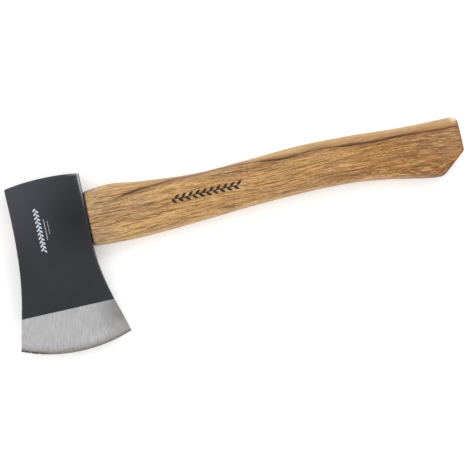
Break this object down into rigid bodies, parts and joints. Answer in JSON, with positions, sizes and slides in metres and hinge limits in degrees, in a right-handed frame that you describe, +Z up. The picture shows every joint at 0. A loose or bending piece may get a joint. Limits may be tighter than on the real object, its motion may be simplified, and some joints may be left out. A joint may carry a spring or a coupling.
{
  "type": "hatchet",
  "caption": "Wooden-handled hatchet: forged head with lacquered cheeks and bare ground bit, wedged onto a curved hardwood handle.",
  "frame": {"origin": "under the middle of the whole hatchet, on the surface that it lies on", "axes": "+X along the handle from the head to the butt, +Y towards the poll with the cutting edge towards -Y, +Z up through the head's thickness"},
  "size_m": [0.355, 0.132, 0.024],
  "materials": {
    "head_lacquer": "satin charcoal lacquer",
    "ground_steel": "ground and honed bare steel",
    "handle_wood": "clear lacquered hardwood",
    "wedge_wood": "sawn hardwood end grain",
    "wedge_steel": "dull cut steel",
    "cheek_print": "white printed ink",
    "grip_print": "dark printed ink"
  },
  "bodies": {
    "root": {"axe_head": "head_lacquer", "handle": "handle_wood", "wooden_wedge": "wedge_wood", "steel_wedge_1": "wedge_steel", "steel_wedge_2": "wedge_steel"}
  },
  "joints": []
}
